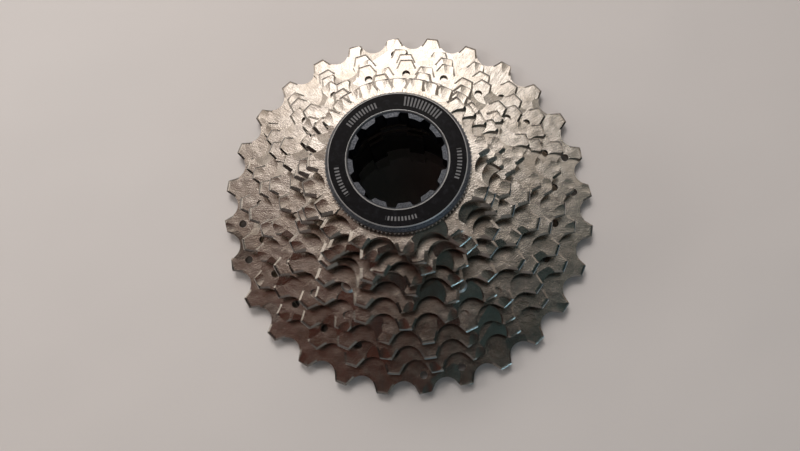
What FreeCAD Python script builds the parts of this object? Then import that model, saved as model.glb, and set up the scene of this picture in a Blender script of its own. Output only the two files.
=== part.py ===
"""Eleven-speed bicycle cassette, small sprocket up.

The origin is on the axis, in the back face of the low carrier's hub, which is the face the whole stack
rests on. +Z runs along the axis towards the lockring. Sizes are in millimetres.
"""
import FreeCAD, Part
import math
import os

# ---- driving dimensions -------------------------------------------------------------------------------
CHAIN_PITCH = 12.7          # roller to roller
SEAT_R = 3.95               # roller seat between two teeth
SEAT_HALF_ANGLE = 58.5      # how far the seat's arc wraps round the roller, each side
TIP_RISE = 0.35             # tooth tip above the pitch circle
TIP_CORNER = 0.45           # size of the corner broken off each side of a tip
TIP_ROLL = 1.3              # radial width of the rounded edge that thins each tip on the upper face
TIP_ROLL_DROP = 0.65
TIP_UNDER_BEVEL = 0.35      # height of the bevel under each tip
TIP_UNDER_WIDTH = 1.2
SCOOP_R = 4.6               # round shift ramps pressed into the upper face
SCOOP_SLOPE = 8.0           # degrees, down into the gap between two teeth
SCOOP_TURN = 24.0
SCOOP_DEPTH = 0.27
SMALL_SCOOP_R = 3.3
SMALL_SCOOP_SLOPE = 7.0
SMALL_SCOOP_TURN = -30.0
COIN_SLOPE = 24.0           # degrees, bevel coined along the flanks of a tooth
LARGE_COIN = 0.55           # width of that bevel on the riveted sprockets
SMALL_COIN = 0.8            # and on the loose ones
DISH_R = 12.0               # a dished tooth's upper face is hollowed to this radius
DISH_DEPTH = 0.07           # at the tooth's root
DISH_SLOPE = 4.0            # degrees that the dish deepens by towards the tip

PLATE = 1.6                 # sprocket plate thickness
SPACING = 3.74              # sprocket to sprocket, centre to centre
BACK_GAP = 1.3              # hub back face to the largest sprocket's back face
GAP = SPACING - PLATE       # clear space between two plates, and a spacer's thickness
SPACER_SET_IN = 0.4         # spacers stand this much inside the hubs
SPACER_CLEARANCE = 0.15
SPACER_RELIEFS = 6          # shallow hollows round a spacer's rim
RELIEF_R = 4.0
RELIEF_PCR = 23.6

SPLINE_GAP_R = 17.4         # freehub spline, outside radius with clearance
SPLINE_KEY_R = 16.15        # inward keys reach this radius
END_GAP_R = 16.95           # reduced spline at the freehub's outer end, used by the smallest sprocket
KEY_COUNT = 9
KEY_WIDTH = 4.4
NARROW_KEY_WIDTH = 2.6      # the one key that fixes how a piece goes on

HUB_R = 21.0                # outside of the spline hubs and spacers
HUB_CHAMFER = 0.5
CORE_PROUD = 0.5            # the low spider's middle is this much thicker than its arms, each side
RIVET_R = 1.25
RIVET_CLEARANCE = 0.05
RIVET_HEAD_R = 2.1
RIVET_HEAD = 0.65
RIVET_HEAD_TAPER = 0.7

LOW_ARMS = 6
LOW_RIVET_PCR = 40.3        # radius of the circle the low unit's rivets stand on
LOW_EAR_R = 3.6
LOW_CORE_R = 25.5           # solid middle that the arms grow from
LOW_ARM_WIDTHS = (12.0, 7.0)
LIGHTENING_R = 1.6          # hole through each low arm
LIGHTENING_PCR = 32.0
MID_ARMS = 6
MID_RIVET_PCR = 30.6
MID_EAR_R = 2.9
MID_CORE_R = 23.5
MID_ARM_WIDTHS = (9.0, 5.8)

PIERCED_R = 1.15            # holes through the two largest sprockets
PIERCED_PCR_28T = 51.2
PIERCED_PCR_25T = 44.6
DIMPLE_R = 1.2              # blind dimples in the fourth
DIMPLE_PCR = 38.0
DIMPLE_DEPTH = 0.85
BOSS_R_12T = 20.4           # built-in spacers of the two smallest
BOSS_R_11T = 18.4

THREAD_R = 15.3             # M30.6 lockring thread
THREAD_PITCH = 1.058        # 24 turns to the inch
THREAD_DEPTH = 0.55
THREAD_LENGTH = 6.35
THREAD_CREST = 0.12         # flat on each ridge
THREAD_ROOT = 0.16          # and between ridges
THREAD_LEAD = 0.4           # plain end below the thread
TUBE_BORE_R = 12.6
LOCK_SEAT_RISE = 0.9        # raised seat on the smallest sprocket, which the lockring presses on
LOCK_SEAT_R = 17.6
LOCK_SEAT_BORE_R = 15.9
LOCK_SEAT_ROOT = 0.3        # how far it reaches into the plate
WASHER_T = 0.75
WASHER_R = 17.95
WASHER_ROOT_R = 17.5
SERRATIONS = 108
WASHER_CLEARANCE = 0.3      # round the lockring's thread
FLANGE_T = 1.75
FLANGE_R = 17.6
FLANGE_FACE_R = 16.65
FLANGE_EDGE = 0.45          # upright edge under the flange's bevel
RIM_CHAMFER_R = 12.45       # mouth of the lockring
RIM_CHAMFER = 0.3
TOOL_NOTCH_R = 11.95
TOOL_LAND_R = 10.85
TOOL_LANDS = 12
TOOL_LAND_SHARE = 0.5       # part of each step that the land's inner end fills
TOOL_LAND_FLARE = 3.2       # degrees that the land widens by on each side towards its root
TOOL_LAND_ROOT = 0.3        # how far a land reaches into the tube's wall
TOOL_LAND_START = 8.5       # angle of the first land
TOOL_DEPTH = 4.6
TOOL_STEP = 0.6             # slope from the notches down to the tube's bore

# teeth, angle of one tooth, inside radius of the ring (None: a spline bore), teeth between shift gates
SPROCKETS = [
    (28, 5.6, 44.8, 7),
    (25, 6.8, 40.6, 5),
    (23, 12.8, 36.2, 6),
    (21, 4.8, 33.4, 7),
    (19, 5.6, 27.6, 5),
    (17, 17.6, None, 6),
    (15, 10.3, None, 5),
    (14, 20.6, None, 5),
    (13, 8.5, None, 4),
    (12, 11.5, None, 4),
    (11, 14.0, None, 4),
]
FIRST_LOOSE = 5             # place in that list of the largest sprocket that is not riveted
FIRST_BOSSED = 9            # and of the larger of the two with built-in spacers
# corner drops (leading, trailing) of the teeth at a gate, by their place after it
GATE_DROPS = {0: (0.25, 0.85), 1: (0.75, 0.0)}
# dished teeth, by their place after a gate: how far off the tooth's middle the dish lies
LARGE_DISHES = {0: 1.0, 4: -0.8}
SMALL_DISHES = {0: 0.9, 2: -0.6, 3: 0.7}

AXIS = FreeCAD.Vector(0, 0, 1)
ORIGIN = FreeCAD.Vector(0, 0, 0)


# ---- helpers ------------------------------------------------------------------------------------------
def polar(radius, degrees, z=0.0):
    angle = math.radians(degrees)
    return FreeCAD.Vector(radius * math.cos(angle), radius * math.sin(angle), z)


def cylinder(radius, bottom, top, centre=ORIGIN):
    return Part.makeCylinder(radius, top - bottom, FreeCAD.Vector(centre.x, centre.y, bottom))


def ring(outer, inner, bottom, top):
    return cylinder(outer, bottom, top).cut(cylinder(inner, bottom - 1, top + 1))


def turned(profile):
    """Solid of revolution about the axis, from (radius, z) corners."""
    corners = [FreeCAD.Vector(radius, 0, z) for radius, z in profile]
    face = Part.Face(Part.makePolygon(corners + corners[:1]))
    return face.revolve(ORIGIN, AXIS, 360)


def prism(wire, bottom, top):
    face = Part.Face(wire)
    face.translate(FreeCAD.Vector(0, 0, bottom))
    return face.extrude(FreeCAD.Vector(0, 0, top - bottom))


def around(shape, count, start=0.0):
    """Copies of a shape made at angle 0, turned evenly about the axis."""
    copies = []
    for index in range(count):
        copy = shape.copy()
        copy.rotate(ORIGIN, AXIS, start + index * 360.0 / count)
        copies.append(copy)
    return copies


def solid_of(shape):
    shape = shape.removeSplitter()
    return shape.Solids[0] if len(shape.Solids) == 1 else shape


# ---- splines ------------------------------------------------------------------------------------------
def key(width, inner, outer, bottom, top):
    """One inward key, along +X."""
    block = Part.makeBox(outer - inner + 2, width, top - bottom,
                         FreeCAD.Vector(inner - 1, -width / 2, bottom))
    return block.common(ring(outer, inner, bottom, top))


def spline_keys(gap_r, bottom, top):
    wide = around(key(KEY_WIDTH, SPLINE_KEY_R, gap_r + 0.5, bottom, top), KEY_COUNT)
    narrow = key(NARROW_KEY_WIDTH, SPLINE_KEY_R, gap_r + 0.5, bottom, top)
    return [narrow] + wide[1:]


def splined(body, bottom, top, gap_r=SPLINE_GAP_R):
    """Open a bore for the freehub through a body and leave the keys standing in it."""
    bored = body.cut(cylinder(gap_r, bottom - 1, top + 1))
    return bored.fuse(spline_keys(gap_r, bottom, top))


# ---- sprocket plates ----------------------------------------------------------------------------------
def pitch_radius(teeth):
    return CHAIN_PITCH / 2 / math.sin(math.pi / teeth)


def plate_bottom(index):
    return BACK_GAP + index * SPACING


def flank_reach(start, slope, radius):
    """Distance along a flank from its start to a circle about the axis."""
    along = start[0] * slope[0] + start[1] * slope[1]
    short = start[0] ** 2 + start[1] ** 2 - radius ** 2
    return -along + math.sqrt(along ** 2 - short)


def half_tooth(teeth, drop):
    """Seat bottom, seat side, flank end and tip corner of one gap's side, in the gap's own axes."""
    pitch_r = pitch_radius(teeth)
    wrap = math.radians(SEAT_HALF_ANGLE)
    seat_mid = (pitch_r - SEAT_R * math.cos(wrap / 2), SEAT_R * math.sin(wrap / 2))
    seat_end = (pitch_r - SEAT_R * math.cos(wrap), SEAT_R * math.sin(wrap))
    slope = (math.sin(wrap), math.cos(wrap))
    tip_r = pitch_r + TIP_RISE - drop
    reach = flank_reach(seat_end, slope, tip_r - TIP_CORNER)
    flank = (seat_end[0] + reach * slope[0], seat_end[1] + reach * slope[1])
    corner_angle = math.atan2(flank[1], flank[0]) + 0.6 * TIP_CORNER / tip_r
    corner = (tip_r * math.cos(corner_angle), tip_r * math.sin(corner_angle))
    return seat_mid, seat_end, flank, corner


def toothed_outline(teeth, phase, drops):
    """Outline of a sprocket. drops gives how much lower each tooth's leading and trailing corner stands."""
    step = 360.0 / teeth
    edges = []
    previous = None
    first = None
    for gap in range(teeth):
        gap_angle = phase + (gap + 0.5) * step
        before = half_tooth(teeth, drops[gap][1])
        after = half_tooth(teeth, drops[(gap + 1) % teeth][0])

        def place(point, side):
            radius = math.hypot(point[0], point[1])
            return polar(radius, gap_angle + side * math.degrees(math.atan2(point[1], point[0])))

        left = [place(point, -1) for point in before]
        right = [place(point, 1) for point in after]
        bottom = polar(pitch_radius(teeth) - SEAT_R, gap_angle)
        if previous:
            edges.append(Part.LineSegment(previous, left[3]))
        else:
            first = left[3]
        edges.append(Part.LineSegment(left[3], left[2]))
        edges.append(Part.LineSegment(left[2], left[1]))
        edges.append(Part.Arc(left[1], bottom, right[1]))
        edges.append(Part.LineSegment(right[1], right[2]))
        edges.append(Part.LineSegment(right[2], right[3]))
        previous = right[3]
    edges.append(Part.LineSegment(previous, first))
    return Part.Wire([edge.toShape() for edge in edges])


def rim_roll(teeth, bottom):
    """Disc whose rim is rounded off above, which thins the teeth towards their tips."""
    top = bottom + PLATE
    rim = pitch_radius(teeth) + TIP_RISE + 0.1

    def corner(radius, z):
        return FreeCAD.Vector(radius, 0, z)

    # the roll starts nearly flat and steepens towards the rim
    midway = corner(rim - 0.4 * TIP_ROLL, top - 0.27 * TIP_ROLL_DROP)
    roll = Part.Arc(corner(rim, top - TIP_ROLL_DROP), midway, corner(rim - TIP_ROLL, top))
    straight = [corner(rim - TIP_ROLL, top), corner(0, top), corner(0, bottom),
                corner(rim - TIP_UNDER_WIDTH, bottom), corner(rim, bottom + TIP_UNDER_BEVEL),
                corner(rim, top - TIP_ROLL_DROP)]
    edges = [Part.LineSegment(start, end).toShape() for start, end in zip(straight, straight[1:])]
    return Part.Face(Part.Wire(edges + [roll.toShape()])).revolve(ORIGIN, AXIS, 360)


def scoop(teeth, angle, top, radius, slope, turn):
    """Tool for one shift ramp: a round pocket whose floor slopes down into the gap between two teeth."""
    root_r = pitch_radius(teeth) - SEAT_R
    tool = Part.makeCylinder(radius, 4.0)
    tool.rotate(ORIGIN, FreeCAD.Vector(0, 1, 0), slope)
    tool.rotate(ORIGIN, AXIS, turn)
    tool.translate(FreeCAD.Vector(root_r - 0.2, 0, top - SCOOP_DEPTH))
    tool.rotate(ORIGIN, AXIS, angle)
    return tool


def dish(teeth, angle, top, offset):
    """Tool that hollows one tooth's upper face, deeper towards the tip and to one side."""
    tool = Part.makeCylinder(DISH_R, 9.0, ORIGIN, FreeCAD.Vector(1, 0, 0))
    tool.translate(FreeCAD.Vector(-1.0, offset, DISH_R - DISH_DEPTH))
    tool.rotate(ORIGIN, FreeCAD.Vector(0, 1, 0), DISH_SLOPE)
    tool.translate(FreeCAD.Vector(pitch_radius(teeth) - 2.0, 0, top))
    tool.rotate(ORIGIN, AXIS, angle)
    return tool


def coin(teeth, angle, top, side, width):
    """Tool for the bevel along one flank of a tooth, from its seat to its tip."""
    half_step = math.pi / teeth
    wrap = math.radians(SEAT_HALF_ANGLE)
    start = FreeCAD.Vector(pitch_radius(teeth) - SEAT_R * math.cos(wrap), SEAT_R * math.sin(wrap), 0)
    tool = Part.makeBox(8.0, 3.5, 3.0, FreeCAD.Vector(-0.9, -3.5, 0))
    tool.rotate(ORIGIN, FreeCAD.Vector(1, 0, 0), COIN_SLOPE)
    tool.translate(FreeCAD.Vector(0, width, top))
    tool.rotate(ORIGIN, AXIS, 90.0 - SEAT_HALF_ANGLE)
    tool.translate(start)
    tool.rotate(ORIGIN, AXIS, -math.degrees(half_step))
    if side < 0:
        tool = tool.mirror(ORIGIN, FreeCAD.Vector(0, 1, 0))
    tool.rotate(ORIGIN, AXIS, angle)
    return tool


def gate_drops(teeth, every):
    """Corner drops of every tooth: a low slanted one at each gate, and a nick on the tooth after it."""
    return [GATE_DROPS.get(tooth % every, (0.0, 0.0)) for tooth in range(teeth)]


def toothed_plate(index):
    teeth, phase, _, every = SPROCKETS[index]
    bottom = plate_bottom(index)
    top = bottom + PLATE
    step = 360.0 / teeth
    dishes, width = (SMALL_DISHES, SMALL_COIN) if index >= FIRST_LOOSE else (LARGE_DISHES, LARGE_COIN)
    plate = prism(toothed_outline(teeth, phase, gate_drops(teeth, every)), bottom, top)
    plate = plate.common(rim_roll(teeth, bottom))
    tools = []
    for tooth in range(teeth):
        angle = phase + tooth * step
        place = tooth % every
        if place in dishes:
            tools.append(dish(teeth, angle, top, dishes[place]))
        for side in (1, -1):
            tools.append(coin(teeth, angle, top, side, width))
        if place == 0:
            tools.append(scoop(teeth, angle + 0.55 * step, top, SCOOP_R, SCOOP_SLOPE, SCOOP_TURN))
        elif place == 3:
            tools.append(scoop(teeth, angle - 0.45 * step, top, SMALL_SCOOP_R, SMALL_SCOOP_SLOPE,
                               SMALL_SCOOP_TURN))
    return plate.cut(tools)


def ringed(plate, index, arms, rivet_pcr, ear_r):
    """Open the middle of a plate and leave an ear at every arm for its rivet."""
    inner = SPROCKETS[index][2]
    bottom = plate_bottom(index)
    top = bottom + PLATE
    open_middle = cylinder(inner, bottom - 1, top + 1)
    ears = around(cylinder(ear_r, bottom - 1, top + 1, polar(rivet_pcr, 0)), arms)
    bridge = Part.makeBox(inner - rivet_pcr + 4, 2 * ear_r, PLATE + 2,
                          FreeCAD.Vector(rivet_pcr, -ear_r, bottom - 1))
    bridges = around(bridge, arms)
    opened = plate.cut(open_middle.cut(ears + bridges))
    hole = cylinder(RIVET_R + RIVET_CLEARANCE, bottom - 1, top + 1, polar(rivet_pcr, 0))
    return opened.cut(around(hole, arms))


def pierced(plate, index, radius, hole_r, depth=PLATE + 2, gate_teeth=None):
    """Row of holes under the teeth: at every tooth, or only at the first few teeth of each gate."""
    teeth, phase, _, every = SPROCKETS[index]
    top = plate_bottom(index) + PLATE
    floor = top - depth
    step = 360.0 / teeth
    holes = []
    for tooth in range(teeth):
        if gate_teeth is None or tooth % every < gate_teeth:
            place = polar(radius, phase + tooth * step)
            holes.append(cylinder(hole_r, floor, top + 1, place))
    return plate.cut(holes)


# ---- low riveted unit ---------------------------------------------------------------------------------
def sprocket_28t():
    plate = ringed(toothed_plate(0), 0, LOW_ARMS, LOW_RIVET_PCR, LOW_EAR_R)
    return pierced(plate, 0, PIERCED_PCR_28T, PIERCED_R, gate_teeth=2)


def sprocket_25t():
    plate = ringed(toothed_plate(1), 1, LOW_ARMS, LOW_RIVET_PCR, LOW_EAR_R)
    return pierced(plate, 1, PIERCED_PCR_25T, PIERCED_R)


def arm(root_r, rivet_pcr, widths, bottom, top):
    """Tapered spider arm along +X, round at its rivet end."""
    near = root_r - 1.5
    root_width, tip_width = widths
    corners = [(near, -root_width / 2), (rivet_pcr, -tip_width / 2), (rivet_pcr, tip_width / 2),
               (near, root_width / 2)]
    points = [FreeCAD.Vector(x, y, 0) for x, y in corners]
    web = prism(Part.makePolygon(points + points[:1]), bottom, top)
    return web.fuse(cylinder(tip_width / 2, bottom, top, polar(rivet_pcr, 0)))


def carrier_low():
    """Aluminium spider: its arms lie between the two largest plates."""
    hub_top = plate_bottom(1) + PLATE + GAP / 2
    arm_bottom = plate_bottom(0) + PLATE
    arm_top = plate_bottom(1)
    hub = turned([(0, 0), (HUB_R - HUB_CHAMFER, 0), (HUB_R, HUB_CHAMFER), (HUB_R, hub_top), (0, hub_top)])
    core = cylinder(LOW_CORE_R, arm_bottom - CORE_PROUD, arm_top + CORE_PROUD)
    arms = around(arm(LOW_CORE_R, LOW_RIVET_PCR, LOW_ARM_WIDTHS, arm_bottom, arm_top), LOW_ARMS)
    body = splined(hub.fuse([core] + arms), 0, hub_top)
    holes = around(cylinder(RIVET_R + RIVET_CLEARANCE, 0, hub_top, polar(LOW_RIVET_PCR, 0)), LOW_ARMS)
    lightening = around(cylinder(LIGHTENING_R, 0, hub_top, polar(LIGHTENING_PCR, 0)), LOW_ARMS)
    return body.cut(holes + lightening)


def rivet(pcr, bottom, top):
    """Shank with a domed head on each outer plate face."""
    place = polar(pcr, 0)
    shank = cylinder(RIVET_R, bottom - RIVET_HEAD / 2, top + RIVET_HEAD / 2, place)
    lower = Part.makeCone(RIVET_HEAD_R * RIVET_HEAD_TAPER, RIVET_HEAD_R, RIVET_HEAD,
                          FreeCAD.Vector(place.x, place.y, bottom - RIVET_HEAD))
    upper = Part.makeCone(RIVET_HEAD_R, RIVET_HEAD_R * RIVET_HEAD_TAPER, RIVET_HEAD,
                          FreeCAD.Vector(place.x, place.y, top))
    return solid_of(shank.fuse([lower, upper]))


def rivets_low():
    top = plate_bottom(1) + PLATE
    return Part.makeCompound(around(rivet(LOW_RIVET_PCR, BACK_GAP, top), LOW_ARMS))


# ---- middle riveted unit ------------------------------------------------------------------------------
def sprocket_23t():
    return ringed(toothed_plate(2), 2, MID_ARMS, MID_RIVET_PCR, MID_EAR_R)


def sprocket_21t():
    plate = ringed(toothed_plate(3), 3, MID_ARMS, MID_RIVET_PCR, MID_EAR_R)
    return pierced(plate, 3, DIMPLE_PCR, DIMPLE_R, depth=DIMPLE_DEPTH)


def sprocket_19t():
    return ringed(toothed_plate(4), 4, MID_ARMS, MID_RIVET_PCR, MID_EAR_R)


def carrier_mid():
    """Spider with two layers of arms, one between each pair of its three plates."""
    hub_bottom = plate_bottom(1) + PLATE + GAP / 2
    hub_top = plate_bottom(4) + PLATE
    hub = cylinder(HUB_R, hub_bottom, hub_top)
    core = cylinder(MID_CORE_R, plate_bottom(2) + PLATE, plate_bottom(4))
    layers = []
    for lower in (2, 3):
        layers += around(arm(MID_CORE_R, MID_RIVET_PCR, MID_ARM_WIDTHS, plate_bottom(lower) + PLATE,
                             plate_bottom(lower + 1)), MID_ARMS)
    body = splined(hub.fuse([core] + layers), hub_bottom, hub_top)
    hole = cylinder(RIVET_R + RIVET_CLEARANCE, hub_bottom, hub_top, polar(MID_RIVET_PCR, 0))
    return body.cut(around(hole, MID_ARMS))


def rivets_mid():
    top = plate_bottom(4) + PLATE
    return Part.makeCompound(around(rivet(MID_RIVET_PCR, plate_bottom(2), top), MID_ARMS))


# ---- loose sprockets and spacers ----------------------------------------------------------------------
def loose_sprocket(index):
    bottom = plate_bottom(index)
    return splined(toothed_plate(index), bottom, bottom + PLATE)


def bossed_sprocket(index, gap_r, boss_r):
    """Sprocket with its spacer built in, standing down to the plate below."""
    bottom = plate_bottom(index) - GAP
    body = toothed_plate(index).fuse(cylinder(boss_r, bottom, plate_bottom(index)))
    return splined(body, bottom, plate_bottom(index) + PLATE, gap_r)


def spacer(below):
    """Plain ring between one plate and the next, with shallow reliefs round its rim."""
    bottom = plate_bottom(below) + PLATE
    body = ring(HUB_R - SPACER_SET_IN, SPLINE_GAP_R + SPACER_CLEARANCE, bottom, bottom + GAP)
    relief = cylinder(RELIEF_R, bottom - 1, bottom + GAP + 1, polar(RELIEF_PCR, 0))
    return body.cut(around(relief, SPACER_RELIEFS, 180.0 / SPACER_RELIEFS))


# ---- lockring -----------------------------------------------------------------------------------------
def stack_top():
    return plate_bottom(len(SPROCKETS) - 1) + PLATE + LOCK_SEAT_RISE


def lock_seat():
    """Raised ring on the smallest sprocket's face, inside its teeth's roots."""
    return ring(LOCK_SEAT_R, LOCK_SEAT_BORE_R, stack_top() - LOCK_SEAT_RISE - LOCK_SEAT_ROOT, stack_top())


def lockring_washer():
    """Flat ring with a serrated rim that grips the smallest sprocket."""
    points = []
    for serration in range(SERRATIONS):
        start = serration * 360.0 / SERRATIONS
        share = 90.0 / SERRATIONS
        points.append(polar(WASHER_ROOT_R, start))
        points.append(polar(WASHER_R, start + share))
        points.append(polar(WASHER_R, start + 2 * share))
        points.append(polar(WASHER_ROOT_R, start + 3 * share))
    body = prism(Part.makePolygon(points + points[:1]), stack_top(), stack_top() + WASHER_T)
    return body.cut(cylinder(THREAD_R + WASHER_CLEARANCE, stack_top() - 1, stack_top() + WASHER_T + 1))


def thread_profile(top):
    """Outside of the threaded tube from its lower end up: one ridge for each turn."""
    corners = [(THREAD_R - THREAD_DEPTH, top - THREAD_LENGTH - THREAD_LEAD)]
    middle = THREAD_PITCH / 2
    turns = int(THREAD_LENGTH / THREAD_PITCH)
    for turn in range(turns):
        z = top - THREAD_LENGTH + turn * THREAD_PITCH
        corners.append((THREAD_R - THREAD_DEPTH, z + THREAD_ROOT / 2))
        corners.append((THREAD_R, z + middle - THREAD_CREST / 2))
        corners.append((THREAD_R, z + middle + THREAD_CREST / 2))
        corners.append((THREAD_R - THREAD_DEPTH, z + THREAD_PITCH - THREAD_ROOT / 2))
    return corners


def lockring():
    base = stack_top() + WASHER_T
    top = base + FLANGE_T
    outside = [(TUBE_BORE_R, base - THREAD_LENGTH - THREAD_LEAD)] + thread_profile(base)
    outside += [(THREAD_R - THREAD_DEPTH, base), (FLANGE_R, base), (FLANGE_R, base + FLANGE_EDGE),
                (FLANGE_FACE_R, top), (RIM_CHAMFER_R, top), (TOOL_NOTCH_R, top - RIM_CHAMFER),
                (TOOL_NOTCH_R, top - TOOL_DEPTH), (TUBE_BORE_R, top - TOOL_DEPTH - TOOL_STEP)]
    body = turned(outside)
    step = 360.0 / TOOL_LANDS
    half = TOOL_LAND_SHARE * step / 2
    outer = TOOL_NOTCH_R + TOOL_LAND_ROOT
    flare = half + TOOL_LAND_FLARE
    corners = [polar(TOOL_LAND_R, -half), polar(TOOL_LAND_R, half), polar(outer, flare), polar(outer, -flare)]
    land = Part.Wire([Part.Arc(corners[0], polar(TOOL_LAND_R, 0), corners[1]).toShape(),
                      Part.LineSegment(corners[1], corners[2]).toShape(),
                      Part.Arc(corners[2], polar(outer, 0), corners[3]).toShape(),
                      Part.LineSegment(corners[3], corners[0]).toShape()])
    lands = around(prism(land, top - TOOL_DEPTH, top - RIM_CHAMFER), TOOL_LANDS, TOOL_LAND_START)
    return body.fuse(lands)


# ---- every node ---------------------------------------------------------------------------------------
def all_nodes():
    nodes = {
        "carrier_low": carrier_low(),
        "sprocket_28t": sprocket_28t(),
        "sprocket_25t": sprocket_25t(),
        "rivets_low": rivets_low(),
        "carrier_mid": carrier_mid(),
        "sprocket_23t": sprocket_23t(),
        "sprocket_21t": sprocket_21t(),
        "sprocket_19t": sprocket_19t(),
        "rivets_mid": rivets_mid(),
    }
    for index in range(FIRST_LOOSE, FIRST_BOSSED):
        below = SPROCKETS[index - 1][0]
        teeth = SPROCKETS[index][0]
        nodes["spacer_%d_%d" % (below, teeth)] = spacer(index - 1)
        nodes["sprocket_%dt" % teeth] = loose_sprocket(index)
    nodes["sprocket_12t"] = bossed_sprocket(FIRST_BOSSED, SPLINE_GAP_R, BOSS_R_12T)
    nodes["sprocket_11t"] = bossed_sprocket(FIRST_BOSSED + 1, END_GAP_R, BOSS_R_11T).fuse(lock_seat())
    nodes["lockring_washer"] = lockring_washer()
    nodes["lockring"] = lockring()
    return nodes


os.makedirs("parts", exist_ok=True)
for name, shape in all_nodes().items():
    shape = solid_of(shape)
    shape.exportStep("parts/%s.step" % name)
    print("%-18s solids %d  valid %s  volume %.1f" % (name, len(shape.Solids), shape.isValid(), shape.Volume))
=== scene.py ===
"""Looks of an eleven-speed bicycle cassette that lies on its largest sprocket on pale paper.

Every length is in metres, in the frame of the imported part: +Z runs along the axis towards the lockring.
"""
import math

import bpy
from mathutils import Matrix, Vector


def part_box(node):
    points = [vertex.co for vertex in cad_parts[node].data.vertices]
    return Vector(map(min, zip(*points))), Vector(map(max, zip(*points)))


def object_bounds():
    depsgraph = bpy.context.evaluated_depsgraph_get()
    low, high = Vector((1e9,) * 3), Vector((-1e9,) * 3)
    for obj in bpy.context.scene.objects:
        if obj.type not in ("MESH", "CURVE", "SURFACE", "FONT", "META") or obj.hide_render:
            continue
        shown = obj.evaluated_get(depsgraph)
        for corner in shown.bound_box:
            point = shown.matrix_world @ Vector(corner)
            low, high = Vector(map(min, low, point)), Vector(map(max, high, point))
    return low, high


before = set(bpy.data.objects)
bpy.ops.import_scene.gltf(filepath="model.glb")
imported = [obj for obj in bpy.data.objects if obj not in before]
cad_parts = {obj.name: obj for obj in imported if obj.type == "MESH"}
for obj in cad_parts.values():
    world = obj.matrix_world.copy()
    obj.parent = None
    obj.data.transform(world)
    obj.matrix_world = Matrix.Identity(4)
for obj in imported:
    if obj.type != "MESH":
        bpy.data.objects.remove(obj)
cad_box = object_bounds()

MM = 0.001
STACK_FOOT = cad_box[0].z
# index ticks on the lockring: middle and half width of each row in degrees, inner and outer radius in mm
TICK_ROWS = [(128.0, 17.0, 13.9, 15.3), (66.0, 19.0, 13.6, 15.9), (-5.0, 15.0, 14.3, 15.4),
             (-86.0, 14.0, 14.2, 15.2), (-158.0, 15.0, 14.2, 15.3)]
TICKS_PER_RADIAN = 18.0
LOCKRING_MOUTH = 12.45 * MM     # radius where the lockring's inner chamfer meets its face
LOCKRING_BEVEL = 0.95 * MM      # width of the bevel round its outer edge
SOFT_BORDER = 0.05 * MM         # width over which one colour of the lockring gives way to the next
GRAIN_WIDTH = 0.0004            # one streak of the plating's grain, at the tooth tips
GRAIN_ALONG = 230.0             # streaks to the metre outwards
GRAIN_UPWARD = 900.0            # and up the plate's edge
EDGE_BREAK = 0.17 * MM          # rounding of the sprockets' sharp edges
SHARP_EDGE = 32.0               # degrees between two faces from which an edge counts as sharp
PAPER_SIZE = 6.0
PAPER_GAP = 0.00002             # the paper lies this far under the cassette
PANE = (-0.08, 0.52, 0.85)      # direction of the window pane that the far teeth mirror
PANE_SPREAD = (0.972, 0.995)    # cosines at the pane's soft border
ROOM_STRENGTH = 0.88
ROOM_SHADE = (0.012, 0.008, 0.007)
BACKDROP = (0.62, 0.60, 0.57)
# colour that each part of the room adds
ROOM_TINTS = {"glow": (1.75, 1.54, 1.36), "sleeve": (0.075, 0.022, 0.014), "cool_side": (0.022, 0.050, 0.052),
              "teal": (0.02, 0.10, 0.15), "pane": (2.5, 2.45, 2.4), "left_wall": (0.9, 0.84, 0.77),
              "beyond": (1.15, 1.07, 1.0), "behind": (0.17, 0.16, 0.155), "low": (0.10, 0.10, 0.105)}
# name, azimuth and elevation in degrees, distance, width and height in metres, power in watts, tint,
# and whether the metal mirrors it
LAMPS = [("window", 14, 52, 0.45, 0.20, 0.14, 0.80, (1.0, 0.955, 0.92), False),
         ("far_window", 88, 33, 0.42, 0.12, 0.10, 0.30, (1.0, 0.95, 0.90), False),
         ("back_window", 178, 48, 0.5, 0.20, 0.12, 0.08, (1.0, 0.97, 0.95), False),
         ("cool_window", -140, 20, 0.5, 0.22, 0.05, 0.14, (0.45, 0.80, 1.0), True)]
SENSOR = 36.0
LENS = 26.01
LENS_SHIFT = (-0.0523, 0.0822)
EYE_TILT = (0.145, 0.007)       # radians about X and Y
EYE_PLACE = (10.274, -25.669, 178.264)      # mm, before the tilt
EYE_LIFT = 2.9 * MM


# ---- shader arithmetic ---------------------------------------------------------------------------------
class Signal:
    """A value on its way through a finish. Arithmetic on it adds Math nodes."""

    def __init__(self, finish, socket):
        self.finish = finish
        self.socket = socket

    def __add__(self, other):
        return self.finish.math("ADD", self, other)

    def __radd__(self, other):
        return self.finish.math("ADD", other, self)

    def __sub__(self, other):
        return self.finish.math("SUBTRACT", self, other)

    def __rsub__(self, other):
        return self.finish.math("SUBTRACT", other, self)

    def __mul__(self, other):
        return self.finish.math("MULTIPLY", self, other)

    def __rmul__(self, other):
        return self.finish.math("MULTIPLY", other, self)


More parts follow.
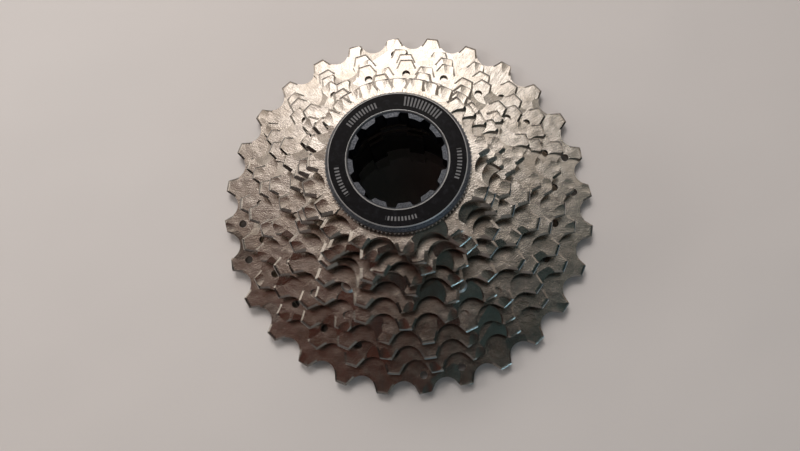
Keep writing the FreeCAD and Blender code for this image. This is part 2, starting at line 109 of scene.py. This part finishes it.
class Finish:
    """One material being made: its nodes, and the Principled shader that they feed."""

    def __init__(self, name, **constants):
        self.material = bpy.data.materials.new(name)
        self.material.use_nodes = True
        self.tree = self.material.node_tree
        self.shader = self.tree.nodes["Principled BSDF"]
        for socket, value in constants.items():
            self.shader.inputs[socket.replace("_", " ")].default_value = value

    def node(self, kind, settings=None, inputs=None, output=0):
        """Add a node of that type: its settings first, then its inputs. Gives back one output as a Signal."""
        made = self.tree.nodes.new("ShaderNode" + kind)
        for setting, value in (settings or {}).items():
            setattr(made, setting, value)
        for name, value in (inputs or {}).items():
            self.feed(made.inputs[name], value)
        return Signal(self, made.outputs[output])

    def feed(self, socket, value):
        if isinstance(value, Signal):
            self.tree.links.new(value.socket, socket)
        else:
            socket.default_value = value

    def math(self, operation, *values):
        return self.node("Math", {"operation": operation}, dict(enumerate(values)))

    def vector(self, x, y, z):
        return self.node("CombineXYZ", None, {0: x, 1: y, 2: z})

    def place(self):
        """Position on the part, in metres."""
        return self.node("TexCoord", None, None, "Object")

    def axes(self):
        place = self.place()
        return [self.node("SeparateXYZ", None, {0: place}, axis) for axis in range(3)]

    def polar(self):
        """Radius and angle about the cassette's axis, and height."""
        x, y, z = self.axes()
        radius = self.math("SQRT", x * x + y * y)
        return radius, self.math("ARCTAN2", y, x), z

    def noise(self, where, scale, detail=3.0, roughness=0.55):
        return self.node("TexNoise", None, {"Vector": where, "Scale": scale, "Detail": detail,
                                            "Roughness": roughness})

    def steps(self, value, low, high, low_out=0.0, high_out=1.0):
        """Smooth step of a value from low to high."""
        return self.node("MapRange", {"interpolation_type": "SMOOTHSTEP"},
                         {"Value": value, "From Min": low, "From Max": high,
                          "To Min": low_out, "To Max": high_out})

    def band(self, value, low, high, edge):
        """One between low and high, nothing outside."""
        return self.steps(value, low - edge, low) * self.steps(value, high + edge, high)

    def mix(self, factor, first, second, blend="MIX"):
        """Colour mix."""
        made = self.tree.nodes.new("ShaderNodeMix")
        made.data_type = "RGBA"
        made.blend_type = blend
        self.feed(made.inputs[0], factor)
        self.feed(made.inputs[6], first)
        self.feed(made.inputs[7], second)
        return Signal(self, made.outputs[2])

    def bump(self, height, depth, below=None):
        inputs = {"Height": height, "Strength": 1.0, "Distance": depth}
        if below:
            inputs["Normal"] = below
        return self.node("Bump", None, inputs)

    def wear(self, **signals):
        """Feed the shader's varying inputs."""
        for socket, value in signals.items():
            self.feed(self.shader.inputs[socket.replace("_", " ")], value)
        return self.material


def colour(red, green, blue):
    return (red, green, blue, 1.0)


class Room(Finish):
    """The room's light, made with the same arithmetic."""

    def __init__(self, tree):
        self.tree = tree
        self.shader = tree.nodes["Background"]

    def place(self):
        return self.node("TexCoord", None, None, "Generated")

    def glow(self, amount, red, green, blue):
        return self.mix(amount, colour(0, 0, 0), colour(red, green, blue))


# ---- finishes ------------------------------------------------------------------------------------------
def plated_steel(teeth, tip_radius):
    """Satin nickel plating over a stamped plate: radial grain on the teeth, mottled toning, specks."""
    finish = Finish("plated_steel_%dt" % teeth, Metallic=1.0)
    place = finish.place()
    radius, angle, height = finish.polar()
    grain_place = finish.vector(angle * (tip_radius / GRAIN_WIDTH), radius * GRAIN_ALONG,
                                height * GRAIN_UPWARD)
    grain = finish.noise(grain_place, 1.0, 4.0, 0.7)
    speckle = finish.noise(place, 2300.0, 3.0, 0.65)
    mottle = finish.noise(place, 420.0, 4.0, 0.62)
    cloud = finish.noise(place, 95.0, 3.0, 0.5)
    wave = finish.noise(place, 260.0, 1.5, 0.4)
    toned = finish.mix(finish.steps(cloud, 0.35, 0.7), colour(0.57, 0.535, 0.495),
                       colour(0.49, 0.445, 0.395))
    worn = finish.mix(finish.steps(mottle, 0.42, 0.68, 0.0, 0.5), toned, colour(0.40, 0.37, 0.335))
    spotted = finish.mix(finish.steps(speckle, 0.56, 0.72, 0.0, 0.45), worn, colour(0.76, 0.73, 0.69))
    rough = 0.11 + grain * 0.11 + mottle * 0.06
    relief = finish.bump(wave, 0.00014)
    relief = finish.bump(grain, 0.00003, relief)
    relief = finish.bump(speckle, 0.000035, relief)
    return finish.wear(Base_Color=spotted, Roughness=rough, Normal=relief)


def blasted_alloy():
    finish = Finish("carrier_alloy", Metallic=1.0)
    place = finish.place()
    grain = finish.noise(place, 3800.0, 3.0, 0.6)
    cloud = finish.noise(place, 140.0, 3.0)
    base = finish.mix(cloud, colour(0.60, 0.60, 0.61), colour(0.70, 0.69, 0.68))
    return finish.wear(Base_Color=base, Roughness=0.34 + grain * 0.2, Normal=finish.bump(grain, 0.00003))


def moulded_black(name, shade, grain_scale=2600.0):
    finish = Finish(name, Specular_IOR_Level=0.45)
    place = finish.place()
    grain = finish.noise(place, grain_scale, 3.0, 0.6)
    flow = finish.noise(place, 160.0, 3.0)
    base = finish.mix(finish.steps(flow, 0.3, 0.7), colour(shade, shade, shade * 1.05),
                      colour(shade * 1.7, shade * 1.65, shade * 1.6))
    return finish.wear(Base_Color=base, Roughness=0.42 + grain * 0.25, Normal=finish.bump(grain, 0.00004))


def pressed_steel(name, light, dark):
    finish = Finish(name, Metallic=1.0)
    place = finish.place()
    grain = finish.noise(place, 3000.0, 3.0, 0.6)
    cloud = finish.noise(place, 500.0, 3.0)
    base = finish.mix(finish.steps(cloud, 0.35, 0.7), light, dark)
    return finish.wear(Base_Color=base, Roughness=0.24 + grain * 0.22, Normal=finish.bump(grain, 0.00002))


def lockring_finish():
    """Black anodised face with grey index ticks, thin lighter bands of bare metal at its outer and inner
    edges that are painted edge highlights, dull grey bevel and tool lands.
    """
    finish = Finish("lockring_black", Specular_IOR_Level=0.1)
    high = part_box("lockring")[1]
    face_edge = high.x - LOCKRING_BEVEL
    top = high.z
    place = finish.place()
    radius, angle, height = finish.polar()
    turned = finish.noise(finish.vector(radius * 9000.0, height * 9000.0, angle * 1.5), 1.0, 2.0)
    speckle = finish.noise(place, 2600.0, 3.0, 0.6)
    scuff = finish.noise(place, 700.0, 4.0, 0.65)
    upper = finish.steps(height, top - 1.9 * MM, top - 1.6 * MM)
    bevel = finish.steps(radius, face_edge, face_edge + SOFT_BORDER) * upper
    near_top = finish.steps(height, top - 0.75 * MM, top - 0.55 * MM)
    inside = finish.steps(radius, LOCKRING_MOUTH, LOCKRING_MOUTH - SOFT_BORDER) * near_top
    dull = finish.math("MAXIMUM", bevel, inside)
    # Thin lighter metallic bands at the bevel's rim and round the mouth: bare metal painted lighter to stand
    # in for the edges' highlights.
    outer_edge_highlight = finish.band(radius, face_edge - SOFT_BORDER, face_edge + 0.16 * MM, SOFT_BORDER) * upper
    inner_edge_highlight = finish.band(radius, LOCKRING_MOUTH - 0.2 * MM, LOCKRING_MOUTH + 0.08 * MM,
                             SOFT_BORDER) * upper
    bright = finish.math("MAXIMUM", outer_edge_highlight, inner_edge_highlight)
    ticks = tick_marks(finish, radius, angle) * finish.steps(height, top - 0.1 * MM, top - SOFT_BORDER)
    black = finish.mix(finish.steps(scuff, 0.45, 0.8), colour(0.003, 0.003, 0.004),
                       colour(0.012, 0.012, 0.015))
    grey = finish.mix(finish.steps(speckle, 0.35, 0.7), colour(0.055, 0.062, 0.075),
                      colour(0.14, 0.15, 0.17))
    base = finish.mix(dull, black, grey)
    # Lay the painted edge highlights, grey bare metal, over the face.
    base = finish.mix(bright, base, colour(0.42, 0.43, 0.44))
    base = finish.mix(ticks * (0.4 + scuff * 0.6), base, colour(0.24, 0.24, 0.25))
    rough = 0.26 + scuff * 0.16 + turned * 0.08
    relief = finish.bump(turned, 0.000012)
    relief = finish.bump(speckle, 0.00001, relief)
    bare = finish.math("MAXIMUM", dull * 0.85, bright)
    return finish.wear(Base_Color=base, Metallic=bare, Roughness=rough, Normal=relief)


def tick_marks(finish, radius, angle):
    """Plain index ticks on the flange, in the rows that TICK_ROWS gives."""
    rows = 0.0
    for middle, half_row, inner, outer in TICK_ROWS:
        row = finish.band(angle, math.radians(middle - half_row), math.radians(middle + half_row), 0.01)
        rows = finish.math("MAXIMUM", rows, row * finish.band(radius, inner * MM, outer * MM, SOFT_BORDER))
    stroke = finish.math("FRACT", angle * TICKS_PER_RADIAN)
    return rows * finish.band(stroke, 0.1, 0.5, 0.08)


def paper():
    finish = Finish("paper", Roughness=0.85, Specular_IOR_Level=0.2)
    place = finish.place()
    cloud = finish.noise(place, 7.0, 3.0, 0.5)
    fibre = finish.noise(place, 1600.0, 3.0, 0.6)
    # The broad lighter and darker patches of the cloud noise are painted shade of the paper's wrinkles; the
    # bump of the same noise bends the surface as well.
    base = finish.mix(cloud, colour(0.60, 0.572, 0.565), colour(0.65, 0.625, 0.615))
    relief = finish.bump(cloud, 0.004)
    relief = finish.bump(fibre, 0.00002, relief)
    return finish.wear(Base_Color=base, Normal=relief)


# ---- dressing the nodes --------------------------------------------------------------------------------
def finishes():
    """One finish for each CAD node."""
    chosen = {
        "carrier_low": blasted_alloy(),
        "carrier_mid": moulded_black("carrier_composite", 0.03),
        "lockring": lockring_finish(),
        "lockring_washer": pressed_steel("washer_steel", colour(0.34, 0.33, 0.32), colour(0.20, 0.20, 0.20)),
    }
    rivet_steel = pressed_steel("rivet_steel", colour(0.68, 0.65, 0.61), colour(0.5, 0.47, 0.44))
    spacer_black = moulded_black("spacer_black", 0.035)
    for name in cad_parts:
        if name.startswith("sprocket_"):
            teeth = int(name.split("_")[1].rstrip("t"))
            chosen[name] = plated_steel(teeth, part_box(name)[1].x)
        elif name.startswith("rivets_"):
            chosen[name] = rivet_steel
        elif name.startswith("spacer_"):
            chosen[name] = spacer_black
    return chosen


def dress(name, material):
    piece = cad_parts[name]
    piece.data.materials.clear()
    piece.data.materials.append(material)


def soften_edges(name):
    """Break the sharp edges of a node by a small rounded bevel."""
    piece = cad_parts[name]
    bevel = piece.modifiers.new("broken_edges", "BEVEL")
    bevel.width = EDGE_BREAK
    bevel.segments = 2
    bevel.limit_method = "ANGLE"
    bevel.angle_limit = math.radians(SHARP_EDGE)
    bevel.use_clamp_overlap = False
    bevel.harden_normals = True


for node_name, node_finish in finishes().items():
    dress(node_name, node_finish)
    if node_name.startswith("sprocket_"):
        soften_edges(node_name)


# ---- floor, light and camera ---------------------------------------------------------------------------
def make_floor():
    bpy.ops.mesh.primitive_plane_add(size=PAPER_SIZE, location=(0, 0, STACK_FOOT - PAPER_GAP))
    floor = bpy.context.object
    floor.name = "paper_floor"
    floor.data.materials.append(paper())


def soft_light(name, azimuth, elevation, distance, width, height, power, tint, mirrored):
    """Area light that faces the cassette. Azimuth 0 stands on +Y and turns towards -X."""
    turn = math.radians(azimuth)
    rise = math.radians(elevation)
    away = Vector((-math.sin(turn) * math.cos(rise), math.cos(turn) * math.cos(rise), math.sin(rise)))
    data = bpy.data.lights.new(name, "AREA")
    data.shape = "RECTANGLE"
    data.size = width
    data.size_y = height
    data.energy = power
    data.color = tint
    lamp = bpy.data.objects.new(name, data)
    bpy.context.scene.collection.objects.link(lamp)
    lamp.location = away * distance
    lamp.rotation_mode = "QUATERNION"
    lamp.rotation_quaternion = (-away).to_track_quat("-Z", "Y")
    lamp.visible_camera = False
    lamp.visible_glossy = mirrored


def make_room():
    """Light of the room by direction: bright beyond +Y, paler low on -X, cool on +X, dim elsewhere."""
    world = bpy.data.worlds.new("room")
    world.use_nodes = True
    bpy.context.scene.world = world
    room = Room(world.node_tree)
    x, y, z = room.axes()
    ahead = room.steps(y, -0.05, 0.55)
    sides = (1.0 - 0.7 * room.steps(x, -0.05, 0.19)) * (1.0 - 0.55 * room.steps(0.0 - x, 0.1, 0.34))
    dapple = 0.72 + room.noise(room.place(), 5.0, 3.0, 0.6) * 0.56
    glow = ahead * ahead * room.steps(z, 0.3, 0.6) * sides * dapple
    sleeve = room.steps(0.0 - x, 0.03, 0.22) * room.steps(z, 0.78, 0.92)
    cool_side = room.steps(x, 0.02, 0.25) * room.steps(z, 0.6, 0.85)
    teal = room.steps(x - y, 0.5, 1.1) * room.steps(z, 0.5, 0.25)
    pane_x, pane_y, pane_z = PANE
    pane = room.steps(x * pane_x + y * pane_y + z * pane_z, *PANE_SPREAD)
    left_wall = room.steps(0.0 - x, 0.42, 0.7) * room.steps(y, 0.0, 0.3) * room.steps(z, 0.15, 0.45)
    beyond = room.steps(y, 0.54, 0.76) * room.steps(z, 0.3, 0.6)
    behind = room.steps(0.0 - y, 0.2, 0.55) * room.steps(z, 0.1, 0.45)
    low = room.steps(z, 0.35, 0.0)
    amounts = {"glow": glow, "sleeve": sleeve, "cool_side": cool_side, "teal": teal, "pane": pane,
               "left_wall": left_wall, "beyond": beyond, "behind": behind, "low": low}
    shade = colour(*ROOM_SHADE)
    for part, tint in ROOM_TINTS.items():
        shade = room.mix(1.0, shade, room.glow(amounts[part], *tint), "ADD")
    seen = room.node("LightPath", None, None, "Is Camera Ray")
    room.shader.inputs["Strength"].default_value = ROOM_STRENGTH
    room.feed(room.shader.inputs["Color"], room.mix(seen, shade, colour(*BACKDROP)))


def make_lights():
    make_room()
    for lamp in LAMPS:
        soft_light(*lamp)


def make_camera():
    data = bpy.data.cameras.new("eye")
    data.sensor_width = SENSOR
    data.lens = LENS
    data.shift_x, data.shift_y = LENS_SHIFT
    data.clip_start = 0.005
    camera = bpy.data.objects.new("eye", data)
    bpy.context.scene.collection.objects.link(camera)
    tilt = Matrix.Rotation(EYE_TILT[0], 3, "X") @ Matrix.Rotation(EYE_TILT[1], 3, "Y")
    seen_from = tilt @ Vector(EYE_PLACE) * MM
    camera.location = seen_from + Vector((0, 0, EYE_LIFT))
    camera.rotation_mode = "QUATERNION"
    camera.rotation_quaternion = tilt.to_quaternion()
    bpy.context.scene.camera = camera


make_floor()
make_lights()
make_camera()
bpy.context.scene.view_settings.view_transform = "Standard"
